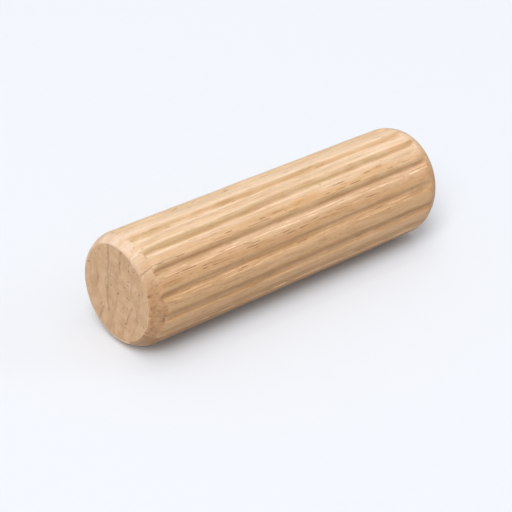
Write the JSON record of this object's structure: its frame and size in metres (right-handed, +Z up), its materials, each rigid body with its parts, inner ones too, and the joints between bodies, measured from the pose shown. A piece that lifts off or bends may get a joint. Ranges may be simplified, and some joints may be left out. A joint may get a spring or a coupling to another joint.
{
  "type": "dowel pin",
  "caption": "Straight wooden pin with pressed lengthwise flutes and chamfered ends, glued into facing holes to join two boards.",
  "frame": {"origin": "on the bench under the middle of the pin, as it lies on its side", "axes": "+X along the pin from one end to the other, +Z up; one flute faces straight down, and the crests of its two edges stand on z = 0"},
  "size_m": [0.04, 0.012, 0.0119],
  "materials": {
    "beech": "bare, planed along the grain with sawn end grain, matt"
  },
  "bodies": {
    "root": {"dowel_pin": "beech"}
  },
  "joints": []
}
